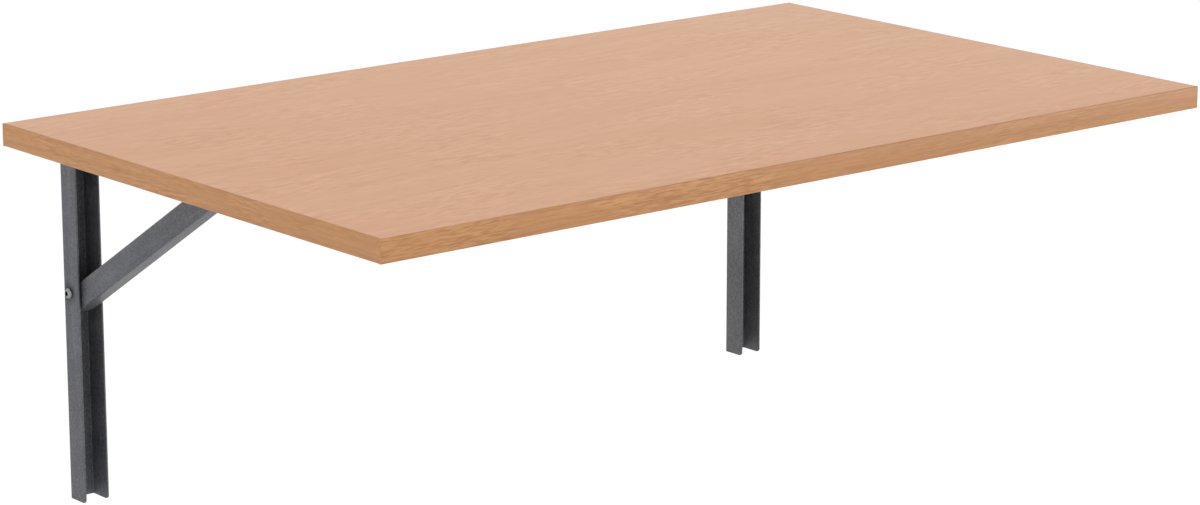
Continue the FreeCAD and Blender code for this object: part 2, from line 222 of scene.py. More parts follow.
# %% [markdown]
# ## The figure of beech
#
# Beech is calm. What the eye sees is faint growth lines, and short dashes where the saw crossed the
# rays, which come in clusters. Both are noises, made dark or light about zero, and added up. A wave
# texture makes lines as well, but so even that they look ruled. Growth lines run on for about 140 mm,
# which is 7 waves in each metre, and so do the clusters.

# %% Figure of beech
GROWTH_WAVES, GROWTH_RATE = 7.0, 0.8
FLECK_RATE = 2.2
CLUSTER_WAVES = (7.0, 14.0)
LINE_SHARE = 0.4


def beech_relief(tree, grain, spacing, fleck_length):
    """Light and dark of the print, about -0.5 to 0.5: LINE_SHARE * growth lines + flecks * their amount.

    Across the grain, the rates are waves to each spacing of the growth lines.
    """
    growth = grain_noise(tree, grain, GROWTH_WAVES, GROWTH_RATE / spacing, 4.0, 0.65)
    line = add(tree, "ShaderNodeMapRange", {"Value": growth.outputs[0], "From Min": 0.35, "From Max": 0.65,
                                            "To Min": 0.5, "To Max": -0.5})
    flecks = grain_noise(tree, grain, 1 / fleck_length, FLECK_RATE / spacing, 2.0)
    fleck = add(tree, "ShaderNodeMapRange", {"Value": flecks.outputs[0], "From Min": 0.38, "From Max": 0.62,
                                             "To Min": -0.5, "To Max": 0.5})
    clusters = grain_noise(tree, grain, *CLUSTER_WAVES, 2.0)
    amount = add(tree, "ShaderNodeMapRange", {"Value": clusters.outputs[0], "From Min": 0.45,
                                              "From Max": 0.60, "To Min": 0.3, "To Max": 0.9})
    flecked = add(tree, "ShaderNodeMath", {0: fleck.outputs[0], 1: amount.outputs[0]}, operation="MULTIPLY")
    return add(tree, "ShaderNodeMath", {0: line.outputs[0], 1: LINE_SHARE, 2: flecked.outputs[0]},
               operation="MULTIPLY_ADD").outputs[0]


print("beech figure: lines count for", LINE_SHARE, "beside the flecks")

# %% [markdown]
# ## Printed film
#
# Furniture board is finished with a printed film: paper or plastic with a picture of beech, under a
# clear satin resin. Its tone drifts in broad streaks, about 600 mm long and seven growth lines wide.
# Where the figure is darker, blue drops most, because the dark lines of wood are browner than its
# light ones. The press plate leaves fine pores in the resin, so a slight bump breaks up the gloss.
# The resin could be a clear coat over the print, but it lies so close on the paper that one satin
# surface looks the same.

# %% Printed film
STREAK_WAVES, STREAK_RATE = 1.6, 0.14
DARKENING = (0.7, 1.0, 1.5)
PORE_STRENGTH, PORE_DEPTH = 0.25, 0.1 * MM
RESIN_IOR = 1.5


def printed_film(name, turn, tones, spacing, fleck_length, contrast, roughness, sway=0.15, light_gradient=(0, 0, 0)):
    """Satin resin over a beech print, its grain turned from X by three angles.

    Colour: a mix of the tones, times 1 + figure * contrast * DARKENING. The mix goes from the first
    tone to the second as streaks + gradient * place goes from 0.5 - sway to 0.5 + sway, with place from
    the leaf's middle. The streaks are the print's own; the gradient over the place is painted light.
    """
    material, tree = new_material(name)
    grain = grown_place(tree, turn, spacing)
    relief = beech_relief(tree, grain, spacing, fleck_length)
    streaks = grain_noise(tree, grain, STREAK_WAVES, STREAK_RATE / spacing, 3.0)
    # Painted light: a gradient over the leaf, from its middle along the given direction.
    place = add(tree, "ShaderNodeVectorMath", {0: add(tree, "ShaderNodeTexCoord").outputs["Object"],
                                               1: (leaf_low + leaf_high) / 2}, operation="SUBTRACT")
    light_share = add(tree, "ShaderNodeVectorMath", {0: place.outputs[0], 1: light_gradient}, operation="DOT_PRODUCT")
    drift = add(tree, "ShaderNodeMath", {0: streaks.outputs[0], 1: light_share.outputs["Value"]})
    hue = add(tree, "ShaderNodeMapRange",
              {"Value": drift.outputs[0], "From Min": 0.5 - sway, "From Max": 0.5 + sway})
    colour = add(tree, "ShaderNodeMix", {"Factor": hue.outputs[0], "A": linear(tones[0]),
                                         "B": linear(tones[1])}, data_type="RGBA")
    shade = add(tree, "ShaderNodeVectorMath",
                {0: relief, 1: [share * contrast for share in DARKENING], 2: (1.0, 1.0, 1.0)},
                operation="MULTIPLY_ADD")
    tint = add(tree, "ShaderNodeVectorMath", {0: colour.outputs["Result"], 1: shade.outputs[0]},
               operation="MULTIPLY")
    bump = add(tree, "ShaderNodeBump", {"Height": relief, "Strength": PORE_STRENGTH, "Distance": PORE_DEPTH})
    shader = add(tree, "ShaderNodeBsdfPrincipled", {"Base Color": tint.outputs[0], "Roughness": roughness,
                                                    "IOR": RESIN_IOR, "Normal": bump.outputs[0]})
    add(tree, "ShaderNodeOutputMaterial", {"Surface": shader.outputs[0]})
    return material


print("resin has an IOR of", RESIN_IOR)

# %% [markdown]
# ## Beech melamine
#
# The leaf is chipboard with a melamine film pressed on it, in the pale pinkish brown of beech, with
# growth lines 10 mm apart and dashes 18 mm long. Its tone drifts over the whole leaf, browner at the
# left front corner and paler at the far right: a painted gradient of the light across it. A clean
# new film would have one tone all over, but so large a face then looks like painted card. The board's
# own mesh is right as it is, so only its material is changed.

# %% Melamine
GROWTH_SPACING = 10 * MM
FLECK_LENGTH = 18 * MM
MELAMINE_TONES = ("#cc9670", "#d0a07c")
# Painted light: the leaf's tone drifts paler towards the far right and browner towards the left front.
PAINTED_LIGHT_GRADIENT = (0.4, 0.67, 0.0)

melamine = printed_film("beech_melamine", (0, 0, 0), MELAMINE_TONES, GROWTH_SPACING, FLECK_LENGTH,
                        contrast=0.2, roughness=0.5, sway=0.4, light_gradient=PAINTED_LIGHT_GRADIENT)
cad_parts["tabletop_board"].data.materials.clear()
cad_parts["tabletop_board"].data.materials.append(melamine)
print("made", melamine.name, "for a board of", [round(side, 3) for side in leaf_high - leaf_low])

# %% [markdown]
# ## Beech edge banding
#
# The four narrow sides are closed with 2 mm strips of ABS plastic, printed with the same beech but a
# shade deeper and more yellow, and with closer lines because the print imitates a board's edge. It is
# also glossier. The saw never follows the grain exactly, so the lines climb a little. One material
# could serve all four, but on the two ends its lines would be met end on and show as dots, so those
# have their own, with the grain turned to run along Y.

# %% Edging films
EDGE_SPACING = 3 * MM
EDGE_FLECKS = 16 * MM
EDGE_TONES = ("#a57142", "#ae7a48")
SLANT = 0.6


def edging(name, turn):
    """A printed film with the closer and stronger figure of edge banding."""
    return printed_film(name, turn, EDGE_TONES, EDGE_SPACING, EDGE_FLECKS, contrast=0.46, roughness=0.42)


long_edging = edging("beech_abs_edging_long", (0, SLANT, 0))
end_edging = edging("beech_abs_edging_ends", (SLANT, 0, 90))
print("made", long_edging.name, "and", end_edging.name)

# %% [markdown]
# ## Meshes from arrays
#
# Every new piece starts as an array of points and a list of faces. It could grow face by face with
# Blender's own operators, but an array is one formula for all of its points. At a seam or a pole it
# holds the same point more than once. So each mesh is closed up: points in one place become one point,
# and only then are the faces turned outwards, because loose faces have no outside.

# %% Mesh helpers
MERGE_WITHIN = 1e-6


def new_piece(name, points, faces, materials):
    """An object at the origin, its mesh made from an array of points and a list of faces."""
    mesh = bpy.data.meshes.new(name)
    mesh.from_pydata(points.tolist(), [], faces)
    for material in materials:
        mesh.materials.append(material)
    piece = bpy.data.objects.new(name, mesh)
    bpy.context.scene.collection.objects.link(piece)
    return piece


def close_up(mesh, smooth_below):
    """Merges doubles, turns the faces outwards, and shades smooth where they meet below this many degrees."""
    skin = bmesh.new()
    skin.from_mesh(mesh)
    bmesh.ops.remove_doubles(skin, verts=skin.verts, dist=MERGE_WITHIN)
    bmesh.ops.recalc_face_normals(skin, faces=skin.faces)
    skin.to_mesh(mesh)
    skin.free()
    mesh.shade_smooth()
    mesh.set_sharp_from_angle(angle=math.radians(smooth_below))


print("doubles within", MERGE_WITHIN * 1e6, "micrometre become one point")

# %% [markdown]
# ## Rounded strips
#
# After gluing, a cutter rounds the strips' two outer corners to 1 mm, which draws a soft line of
# light along them. Each strip is one profile, a rectangle with two rounded corners, carried along a
# straight path. A bevel modifier would also round the inner corners, and open a groove against the
# board that a real strip doesn't have.

# %% Edge bands
BAND_RADIUS = 1 * MM
BAND_SMOOTH = 40
BANDS = {"front_edge_band": ((0, -1), long_edging), "rear_edge_band": ((0, 1), long_edging),
         "left_edge_band": ((-1, 0), end_edging), "right_edge_band": ((1, 0), end_edging)}


def band_profile(thickness, height, steps=6):
    """Outwards and upwards places of a rectangle's corners, its outer two replaced by quarter circles."""
    turn = np.linspace(0, math.pi / 2, steps)
    outwards = thickness - BAND_RADIUS + BAND_RADIUS * np.cos(turn)
    upwards = height - BAND_RADIUS + BAND_RADIUS * np.sin(turn)
    return (np.concatenate([[0], outwards[::-1], outwards, [0]]),
            np.concatenate([[0], height - upwards[::-1], upwards, [height]]))


def edge_band(node, outward, material):
    """The profile at both ends of the node's box, its sides as quads and its two ends as whole faces."""
    low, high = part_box(node)
    across, along = (0, 1) if outward[0] else (1, 0)
    outwards, upwards = band_profile(high[across] - low[across], high.z - low.z)
    inner = low[across] if sum(outward) > 0 else high[across]
    count = len(outwards)
    points = np.zeros((2, count, 3))
    points[..., across] = inner + sum(outward) * outwards
    points[..., along] = np.array([low[along], high[along]])[:, None]
    points[..., 2] = low.z + upwards
    here = np.arange(count)
    after = (here + 1) % count
    sides = np.stack([here, after, after + count, here + count], axis=1).tolist()
    ends = [here.tolist(), (here + count).tolist()]
    piece = new_piece(node + "_rounded", points.reshape(-1, 3), sides + ends, [material])
    close_up(piece.data, BAND_SMOOTH)
    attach(piece, "leaf")
    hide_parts(node)
    return piece


for node, (outward, material) in BANDS.items():
    print(edge_band(node, outward, material).name,
          [round(side, 3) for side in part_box(node)[1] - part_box(node)[0]])

# %% [markdown]
# ## Powder coat
#
# The brackets are folded from 1.5 mm steel and coated with a dark grey metallic powder. It is sprayed
# on dry and baked. A few aluminium flakes in it lie flat and give the coat a faint metal sheen, which
# is why the shader is about one seventh metallic. The film shrinks into a fine texture like orange
# peel, and broad clouds in its grey come from the spraying. The real grain is under a millimetre, too
# fine to see from here, so it is drawn 2 mm wide. On the uprights the grey is darkened towards each
# bolt head, as a painted shadow of the head. That could be painted on the mesh's points, but a flat
# side of a channel has too few of them. The bolts all run along X, so how near one is can be read
# from Y and Z alone.

# %% Painted shade round the bolts
# Painted shadow round the bolt heads: the grey is darkest beside a head and plain 13 mm from its axis.
PAINTED_SHADE_FROM, PAINTED_SHADE_TO, PAINTED_SHADE_DEEPEST = 5 * MM, 13 * MM, 0.25
bolt_middles = [sum(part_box(node), Vector()) / 2 for node in ("hinge_bolts", "hook_bolts")]


def painted_shade_amount(tree, place, axes):
    """Painted shade: from the deepest share beside the nearer bolt up to 1 away from both, by the distance
    over Y and Z.
    """
    flat = add(tree, "ShaderNodeVectorMath", {0: place, 1: (0.0, 1.0, 1.0)}, operation="MULTIPLY")
    near = [add(tree, "ShaderNodeVectorMath", {0: flat.outputs[0], 1: (0.0, *axis)},
                operation="DISTANCE").outputs["Value"] for axis in axes]
    nearest = add(tree, "ShaderNodeMath", {0: near[0], 1: near[-1]}, operation="MINIMUM")
    shade_factor = add(tree, "ShaderNodeMapRange", {"Value": nearest.outputs[0], "From Min": PAINTED_SHADE_FROM,
                                             "From Max": PAINTED_SHADE_TO, "To Min": PAINTED_SHADE_DEEPEST, "To Max": 1.0})
    return shade_factor.outputs[0]


print("bolts at", [(round(middle.y, 4), round(middle.z, 4)) for middle in bolt_middles])

# %% Powder coat
PEEL_WIDTH, CLOUD_WIDTH, PEEL_DEPTH = 2 * MM, 40 * MM, 0.1 * MM
COAT_DARK, COAT_LIGHT = "#3d3f44", "#5f6167"


def powder_coat(name, bolt_axes=()):
    """Metallic polyester powder, satin, with a painted shadow round any bolts that it is given the axes of.

    Its grey goes from dark to light as 3 * peel + cloud goes from 1.4 to 2.6.
    """
    material, tree = new_material(name)
    place = add(tree, "ShaderNodeTexCoord").outputs["Object"]
    peel = add(tree, "ShaderNodeTexNoise",
               {"Vector": place, "Scale": 1 / PEEL_WIDTH, "Detail": 3.0, "Roughness": 0.6})
    cloud = add(tree, "ShaderNodeTexNoise", {"Vector": place, "Scale": 1 / CLOUD_WIDTH, "Detail": 3.0})
    mixed = add(tree, "ShaderNodeMath", {0: peel.outputs[0], 1: 3.0, 2: cloud.outputs[0]},
                operation="MULTIPLY_ADD")
    amount = add(tree, "ShaderNodeMapRange", {"Value": mixed.outputs[0], "From Min": 1.4, "From Max": 2.6})
    colour = add(tree, "ShaderNodeMix", {"Factor": amount.outputs[0], "A": linear(COAT_DARK),
                                         "B": linear(COAT_LIGHT)}, data_type="RGBA").outputs["Result"]
    # Painted shadow of the bolt heads: the grey is scaled down near them.
    if bolt_axes:
        colour = add(tree, "ShaderNodeVectorMath", {0: colour, "Scale": painted_shade_amount(tree, place, bolt_axes)},
                     operation="SCALE").outputs[0]
    bump = add(tree, "ShaderNodeBump", {"Height": peel.outputs[0], "Strength": 0.3, "Distance": PEEL_DEPTH})
    shader = add(tree, "ShaderNodeBsdfPrincipled", {"Base Color": colour, "Metallic": 0.15,
                                                    "Roughness": 0.48, "Normal": bump.outputs[0]})
    add(tree, "ShaderNodeOutputMaterial", {"Surface": shader.outputs[0]})
    return material


paint = powder_coat("dark_grey_metallic_powder_coat")
# The uprights' paint carries the painted shadow round their bolt heads.
bolt_shaded_paint = powder_coat("dark_grey_powder_coat_painted_bolt_shade",
                           [(middle.y, middle.z) for middle in bolt_middles])
print("made", paint.name, "and", bolt_shaded_paint.name)

# %% [markdown]
# ## Softened sheet edges
#
# Powder runs back from a cut edge as it melts, so the edges of painted sheet are never sharp: they
# have a radius of about 0.5 mm that catches a thin line of light. A bevel in the shader could fake
# that light, but the outline would stay sharp. The frame's channels have exact, sharp edges. A copy
# of each is merged into one skin, its flat areas are joined into whole faces, and a bevel modifier
# rounds only the true edges, because the small steps of the bends stay under its angle.

# %% Channels
SIDES = {"left": -1, "right": 1}
EDGE_RADIUS = 0.5 * MM
EDGE_ANGLE = math.radians(40)
FLAT_ANGLE = math.radians(0.5)


def softened_copy(node, material, body):
    """A painted copy of a sheet steel node with rounded edges, which stands for the node."""
    skin = bmesh.new()
    skin.from_mesh(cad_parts[node].data)
    bmesh.ops.remove_doubles(skin, verts=skin.verts, dist=MERGE_WITHIN)
    bmesh.ops.dissolve_limit(skin, angle_limit=FLAT_ANGLE, verts=skin.verts, edges=skin.edges)
    mesh = bpy.data.meshes.new(node + "_painted")
    skin.to_mesh(mesh)
    skin.free()
    mesh.shade_smooth()
    mesh.materials.append(material)
    piece = bpy.data.objects.new(node + "_painted", mesh)
    bpy.context.scene.collection.objects.link(piece)
    bevel = piece.modifiers.new("softened edges", "BEVEL")
    bevel.width = EDGE_RADIUS
    bevel.segments = 3
    bevel.limit_method = "ANGLE"
    bevel.angle_limit = EDGE_ANGLE
    bevel.use_clamp_overlap = True
    bevel.harden_normals = True
    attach(piece, body)
    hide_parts(node)
    return piece


for side in SIDES:
    for part, body, coat in (("upright", "wall_frame", bolt_shaded_paint), ("arm", "leaf", paint),
                             ("strut", side + "_brace", paint)):
        piece = softened_copy(side + "_" + part, coat, body)
        print(piece.name, len(piece.data.polygons), "faces")

# %% [markdown]
# ## Metal finishes
#
# The bolts, nuts, sleeves and screws are steel with bright zinc plate: a thin, cool, silvery metal
# skin, laid on in a bath, a little cloudy and never a mirror. Its crystals are far too fine to see, so
# their grain is drawn 0.4 mm wide. Plain metal of one roughness would be simpler, but it looks
# chromed. The plate hardly reaches the bottom of a narrow socket, and the socket's near black steel
# up to its rim is also painted shade. All metals come from one recipe with other colours.

# %% Metals
METAL_CLOUDS, METAL_GRAIN, METAL_DEPTH = 3 * MM, 0.4 * MM, 0.05 * MM


def metal(tree, colours, roughness):
    """Plated steel: clouds shift its colour, and a grain moves its roughness by a fifth up or down."""
    place = add(tree, "ShaderNodeTexCoord").outputs["Object"]
    cloud = add(tree, "ShaderNodeTexNoise", {"Vector": place, "Scale": 1 / METAL_CLOUDS, "Detail": 2.0})
    grain = add(tree, "ShaderNodeTexNoise", {"Vector": place, "Scale": 1 / METAL_GRAIN, "Detail": 1.0})
    colour = add(tree, "ShaderNodeMix", {"Factor": cloud.outputs[0], "A": linear(colours[0]),
                                         "B": linear(colours[1])}, data_type="RGBA")
    gloss = add(tree, "ShaderNodeMapRange", {"Value": grain.outputs[0], "From Min": 0.3, "From Max": 0.7,
                                             "To Min": roughness * 0.8, "To Max": roughness * 1.2})
    bump = add(tree, "ShaderNodeBump",
               {"Height": grain.outputs[0], "Strength": 0.15, "Distance": METAL_DEPTH})
    shader = add(tree, "ShaderNodeBsdfPrincipled",
                 {"Base Color": colour.outputs["Result"], "Metallic": 1.0, "Roughness": gloss.outputs[0],
                  "Normal": bump.outputs[0]})
    return shader.outputs[0]


def metal_material(name, colours, roughness):
    """A material of one metal."""
    material, tree = new_material(name)
    add(tree, "ShaderNodeOutputMaterial", {"Surface": metal(tree, colours, roughness)})
    return material


zinc = metal_material("bright_zinc_plate", ("#85878a", "#9a9c9f"), 0.38)
# Near black steel for the sockets: painted shade in the recess, where the plate is also thin.
bare_and_shaded_socket = metal_material("dull_socket_steel_painted_shade", ("#1a1b1d", "#242527"), 0.6)
print("made", zinc.name, "and", bare_and_shaded_socket.name)

# %% [markdown]
# ## Nylon and worn rivets
#
# A lock nut holds a ring of white nylon that grips the thread. It is moulded, waxy and a little
# yellow. The rivets were painted with the arms, and their domes have rubbed bright, so their material
# mixes paint and bare steel by patches of wear. The curvature of the mesh could place the wear, but
# such flat domes have hardly any.

# %% Nylon and rivet steel
MOTTLE_WIDTH, WEAR_WIDTH = 1 * MM, 1.5 * MM


def white_nylon():
    """Nylon 6, moulded: waxy white with soft mottling."""
    material, tree = new_material("moulded_white_nylon")
    place = add(tree, "ShaderNodeTexCoord").outputs["Object"]
    mottle = add(tree, "ShaderNodeTexNoise", {"Vector": place, "Scale": 1 / MOTTLE_WIDTH, "Detail": 2.0})
    colour = add(tree, "ShaderNodeMix", {"Factor": mottle.outputs[0], "A": linear("#dedace"),
                                         "B": linear("#ebe8df")}, data_type="RGBA")
    shader = add(tree, "ShaderNodeBsdfPrincipled",
                 {"Base Color": colour.outputs["Result"], "Roughness": 0.45, "IOR": 1.53})
    add(tree, "ShaderNodeOutputMaterial", {"Surface": shader.outputs[0]})
    return material


def worn_rivet():
    """Paint and bare steel, mixed by patches where the rivet has rubbed."""
    material, tree = new_material("worn_painted_rivet")
    place = add(tree, "ShaderNodeTexCoord").outputs["Object"]
    rubbed = add(tree, "ShaderNodeTexNoise", {"Vector": place, "Scale": 1 / WEAR_WIDTH, "Detail": 3.0})
    wear = add(tree, "ShaderNodeMapRange", {"Value": rubbed.outputs[0], "From Min": 0.48, "From Max": 0.6})
    coat = add(tree, "ShaderNodeBsdfPrincipled",
               {"Base Color": linear("#505257"), "Roughness": 0.45, "IOR": 1.5})
    mixed = add(tree, "ShaderNodeMixShader",
                {0: wear.outputs[0], 1: coat.outputs[0], 2: metal(tree, ("#8d8f92", "#a3a5a8"), 0.35)})
    add(tree, "ShaderNodeOutputMaterial", {"Surface": mixed.outputs[0]})
    return material


nylon = white_nylon()
rivet_steel = worn_rivet()
print("made", nylon.name, "and", rivet_steel.name)

# %% [markdown]
# ## Parts made round an axis
#
# Every fastener here is a solid made round an axis: turned on a lathe, headed in a die or rolled
# between dies. So each is a grid of points. The rows go along the part's outline, and the columns go
# round its axis. The radius may depend on the column too. That makes a hexagon, whose side is nearer
# the axis than its corner, and a thread, whose crest moves on by one pitch for each turn. With 48
# columns every corner of a hexagon and of a cross recess falls on a column. A cylinder from Blender's
# menu would be quicker, but it would have neither the dome, the socket nor the thread.

# %% Radii round an axis
COLUMNS = 48
ANGLE = np.linspace(0, 2 * math.pi, COLUMNS, endpoint=False)


def hexagon(flats):
    """Radius of a hexagon at each angle: half the flats / cos(angle from the middle of the nearest side)."""
    return flats / 2 / np.cos((ANGLE + math.pi / 6) % (math.pi / 3) - math.pi / 6)


def cross(reach, half_width):
    """Radius of a cross: the nearer of an arm's end, reach / cos, and its side, half width / sin."""
    turn = np.abs((ANGLE + math.pi / 4) % (math.pi / 2) - math.pi / 4)
    return np.minimum(reach / np.cos(turn), half_width / np.maximum(np.sin(turn), 1e-6))


def thread(along, pitch, core, crest, sharpness):
    """Radius of a right-hand thread, from core up to crest.

    The crest is where along / pitch - angle / turn is whole. Phase is how far that is from whole, and
    the ridge falls as 1.15 - sharpness * phase, cut at 1, which leaves the crest a little flat.
    """
    phase = (along[:, None] / pitch - ANGLE / (2 * math.pi) + 0.5) % 1 - 0.5
    ridge = np.clip(1.15 - np.abs(phase) * sharpness, 0, 1)
    return core[:, None] + (crest - core)[:, None] * ridge


print(COLUMNS, "columns, a hexagon of 10 is", round(float(hexagon(10.0).max()) * 2, 2), "over its corners")

# %% Grid round an axis
def ring(along, radius):
    """One row of the grid, or several: points at a place along the axis and at a radius from it."""
    along, radius = np.broadcast_arrays(np.atleast_1d(along)[:, None], np.atleast_2d(radius) + 0 * ANGLE)
    return np.stack([along, radius * np.cos(ANGLE), radius * np.sin(ANGLE)], axis=-1)


def grid_faces(rows, tube):
    """Quads between the rows, closed round the axis. In a tube the last row joins the first as well."""
    row, column = np.arange(rows if tube else rows - 1)[:, None], np.arange(COLUMNS)
    corners = ((row, column), (row, column + 1), (row + 1, column + 1), (row + 1, column))
    return np.stack([up % rows * COLUMNS + beside % COLUMNS for up, beside in corners], -1).reshape(-1, 4)


print("two rows make", len(grid_faces(2, False)), "quads, and as a tube", len(grid_faces(2, True)))

# %% [markdown]
# ## Setting fasteners in place
#
# Identical fasteners share one mesh. The grid is worked out once in millimetres, on its own axis, and
# a copy of it is set on each place: a base point, the direction of the axis, and one direction beside
# it. The third direction is their cross product, so no copy is ever a mirror image, and threads stay
# right-handed on both brackets. Linked objects would save memory, but each piece has to sit at the
# origin with its place in its mesh. The places come from the frame's own boxes.

# %% Setting in place
FASTENER_SMOOTH = 32


def fastener(node, rows, tube, places, materials, body, second=()):
    """A copy of the grid on each place, as one piece for the node. Rows in second take material two."""
    shape = np.concatenate(rows) * MM
    faces = grid_faces(len(shape), tube)
    shape_points = shape.reshape(-1, 3)
    turned = [shape_points @ np.array([axis, side, np.cross(axis, side)]) + np.array(base)
              for base, axis, side in places]
    copies = np.concatenate([faces + index * len(shape_points) for index in range(len(places))])
    piece = new_piece(node + "_detailed", np.concatenate(turned), copies.tolist(), materials)
    if second:
        row = np.arange(len(faces)) // COLUMNS
        painted = ((row >= second[0]) & (row < second[1])).astype(np.int32)
        piece.data.polygons.foreach_set("material_index", np.tile(painted, len(places)))
    close_up(piece.data, FASTENER_SMOOTH)
    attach(piece, body)
    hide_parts(node)
    print(piece.name, len(places), "copies,", len(piece.data.polygons), "faces")
    return piece


def bracket_places(node):
    """For each bracket: the point on its outer face where the node's axis leaves it, and the directions."""
    low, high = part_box(node)
    middle = (low + high) / 2
    outer = {"left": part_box("left_upright")[0].x, "right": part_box("right_upright")[1].x}
    return [((outer[side], middle.y, middle.z), (sign, 0, 0), (0, sign, 0)) for side, sign in SIDES.items()]


UPRIGHT_WIDTH = (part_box("left_upright")[1].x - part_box("left_upright")[0].x) / MM
print("uprights are", round(UPRIGHT_WIDTH, 2), "mm wide")

# %% [markdown]
# ## Bolts
#
# Each upright is crossed by two M6 button head bolts, one as the hinge's axle and one to hook the
# strut on. The head is a low dome with a flat top and a 4 mm hexagon socket with a conical bottom.
# The thread is rolled on the last 10 mm only, with a pitch of 1 mm, and its tip is chamfered so that
# the nut starts easily. A bump could draw the thread, but not its outline beyond the nut. The dome is
# an arc: radius times cosine outwards, height times sine upwards. All lengths are in millimetres, and
# heights count outwards from the upright's face.

# %% Bolt shank
SHANK_RADIUS, NUT_HEIGHT, TIP_LENGTH = 3.0, 6.5, 1.5
BOLT_LENGTH = UPRIGHT_WIDTH + NUT_HEIGHT + TIP_LENGTH
THREAD_LENGTH, THREAD_PITCH, THREAD_CORE, TIP_RADIUS = 10.0, 1.0, 2.45, 2.3
THREAD_ROWS, THREAD_RUNOUT = 61, 0.4

threaded = np.linspace(-BOLT_LENGTH, THREAD_LENGTH - BOLT_LENGTH, THREAD_ROWS)
thread_radius = thread(threaded, THREAD_PITCH, np.full(THREAD_ROWS, THREAD_CORE),
                       np.full(THREAD_ROWS, SHANK_RADIUS), sharpness=2.3)
thread_radius = np.minimum(thread_radius, TIP_RADIUS + (threaded + BOLT_LENGTH)[:, None])
shank_end = THREAD_LENGTH - BOLT_LENGTH + THREAD_RUNOUT
print("bolts are", round(BOLT_LENGTH, 2), "mm long under the head")

# %% Bolts
HEAD_RADIUS, HEAD_HEIGHT, HEAD_FACE = 5.25, 3.3, 5.1
BRIM_LOW, BRIM_HIGH, DOME_TURN, DOME_ROWS = 0.12, 0.35, 57, 10
SOCKET_FLATS, SOCKET_DEPTH, SOCKET_CONE, SOCKET_RIM, RIM_DEPTH = 4.0, 2.2, 0.6, 2.45, 0.15
# The socket's rows take the near black socket steel: painted shade in the recess, where the plate is also
# thin.
SOCKET_ROWS = 4

rise = np.linspace(0, math.radians(DOME_TURN), DOME_ROWS)
dome_radius = HEAD_RADIUS * np.cos(rise)
dome_height = BRIM_HIGH + (HEAD_HEIGHT - BRIM_HIGH) * np.sin(rise) / math.sin(rise[-1])
bolt_rows = [
    ring(-BOLT_LENGTH, 0), ring(threaded, thread_radius),
    ring([shank_end, 0, 0, BRIM_LOW], [[SHANK_RADIUS], [SHANK_RADIUS], [HEAD_FACE], [HEAD_RADIUS]]),
    ring(dome_height, dome_radius[:, None]), ring(HEAD_HEIGHT, SOCKET_RIM),
    ring(HEAD_HEIGHT - RIM_DEPTH, hexagon(SOCKET_FLATS)),
    ring(HEAD_HEIGHT - SOCKET_DEPTH, hexagon(SOCKET_FLATS)),
    ring(HEAD_HEIGHT - SOCKET_DEPTH - SOCKET_CONE, 0),
]
bolt_grid_rows = sum(len(row) for row in bolt_rows)
for use in ("hinge", "hook"):
    fastener(use + "_bolts", bolt_rows, False, bracket_places(use + "_bolts"), [zinc, bare_and_shaded_socket],
             "wall_frame", (bolt_grid_rows - SOCKET_ROWS, bolt_grid_rows))

# %% [markdown]
# ## Sleeves
#
# A steel sleeve fills the space between an upright's two sides, so that the bolt can be pulled tight
# without pinching it. The arm turns on the upper one and the strut hooks over the lower one. A sleeve
# is a bar turned, bored and parted off, with its four corners chamfered. A cylinder with a thickness
# would have no chamfers. Its outline closes on itself, so this grid is a tube in both directions.

# %% Sleeves
SHEET = 1.5
SLEEVE_RADIUS, SLEEVE_BORE, SLEEVE_CHAMFER = 4.5, 3.2, 0.3

sleeve_out, sleeve_in = -SHEET, SHEET - UPRIGHT_WIDTH
cut_radius, cut_bore = SLEEVE_RADIUS - SLEEVE_CHAMFER, SLEEVE_BORE + SLEEVE_CHAMFER
sleeve_along = [sleeve_out, sleeve_out, sleeve_out - SLEEVE_CHAMFER, sleeve_in + SLEEVE_CHAMFER,
                sleeve_in, sleeve_in, sleeve_in + SLEEVE_CHAMFER, sleeve_out - SLEEVE_CHAMFER]
sleeve_radius = [[cut_bore], [cut_radius], [SLEEVE_RADIUS], [SLEEVE_RADIUS],
                 [cut_radius], [cut_bore], [SLEEVE_BORE], [SLEEVE_BORE]]
for use in ("hinge", "hook"):
    fastener(use + "_sleeves", [ring(sleeve_along, sleeve_radius)], True, bracket_places(use + "_sleeves"),
             [zinc], "wall_frame")

# %% [markdown]
# ## Lock nuts
#
# A hinge bolt must not work loose as the arm turns on it, so the nuts are the locking kind. The
# hexagon's corners are cut by a 30 degree cone at both ends, which draws the curved line on each
# side: at any angle the radius is the smaller of the hexagon's and the cone's. Cutting one solid
# with the other would give the same line, but long thin faces with it. A thin collar rises from the
# hexagon and is rolled in over the nylon ring.

# %% Lock nuts
NUT_FLATS, HEX_HEIGHT = 10.0, 4.9
CONE_START, CONE_HEIGHT, CONE_SLOPE, CONE_ROWS = 4.75, 0.62, math.tan(math.radians(30)), 5
# Heights and radii up the collar's outside, over its rolled rim, and down the ring and the bore.
COLLAR = np.array([(5.0, 4.45), (5.9, 4.4), (6.2, 4.3), (6.4, 4.1), (NUT_HEIGHT, 3.8), (6.42, 3.55),
                   (6.15, 3.5), (6.1, 3.1), (5.9, 3.02), (0.4, 3.02), (0.0, 3.4)])
NYLON_FIRST, NYLON_LAST = 5, 8

climb = np.linspace(0, CONE_HEIGHT, CONE_ROWS)
cone = np.minimum(hexagon(NUT_FLATS), (CONE_START + climb / CONE_SLOPE)[:, None])
nut_along = np.concatenate([climb, HEX_HEIGHT - climb[::-1], COLLAR[:, 0]])
nut_radius = np.concatenate([cone, cone[::-1], COLLAR[:, 1:] + 0 * ANGLE])
hexagon_rows = 2 * CONE_ROWS
for use in ("hinge", "hook"):
    fastener(use + "_nuts", [ring(-UPRIGHT_WIDTH - nut_along, nut_radius)], True,
             bracket_places(use + "_nuts"), [zinc, nylon], "wall_frame",
             (hexagon_rows + NYLON_FIRST, hexagon_rows + NYLON_LAST))
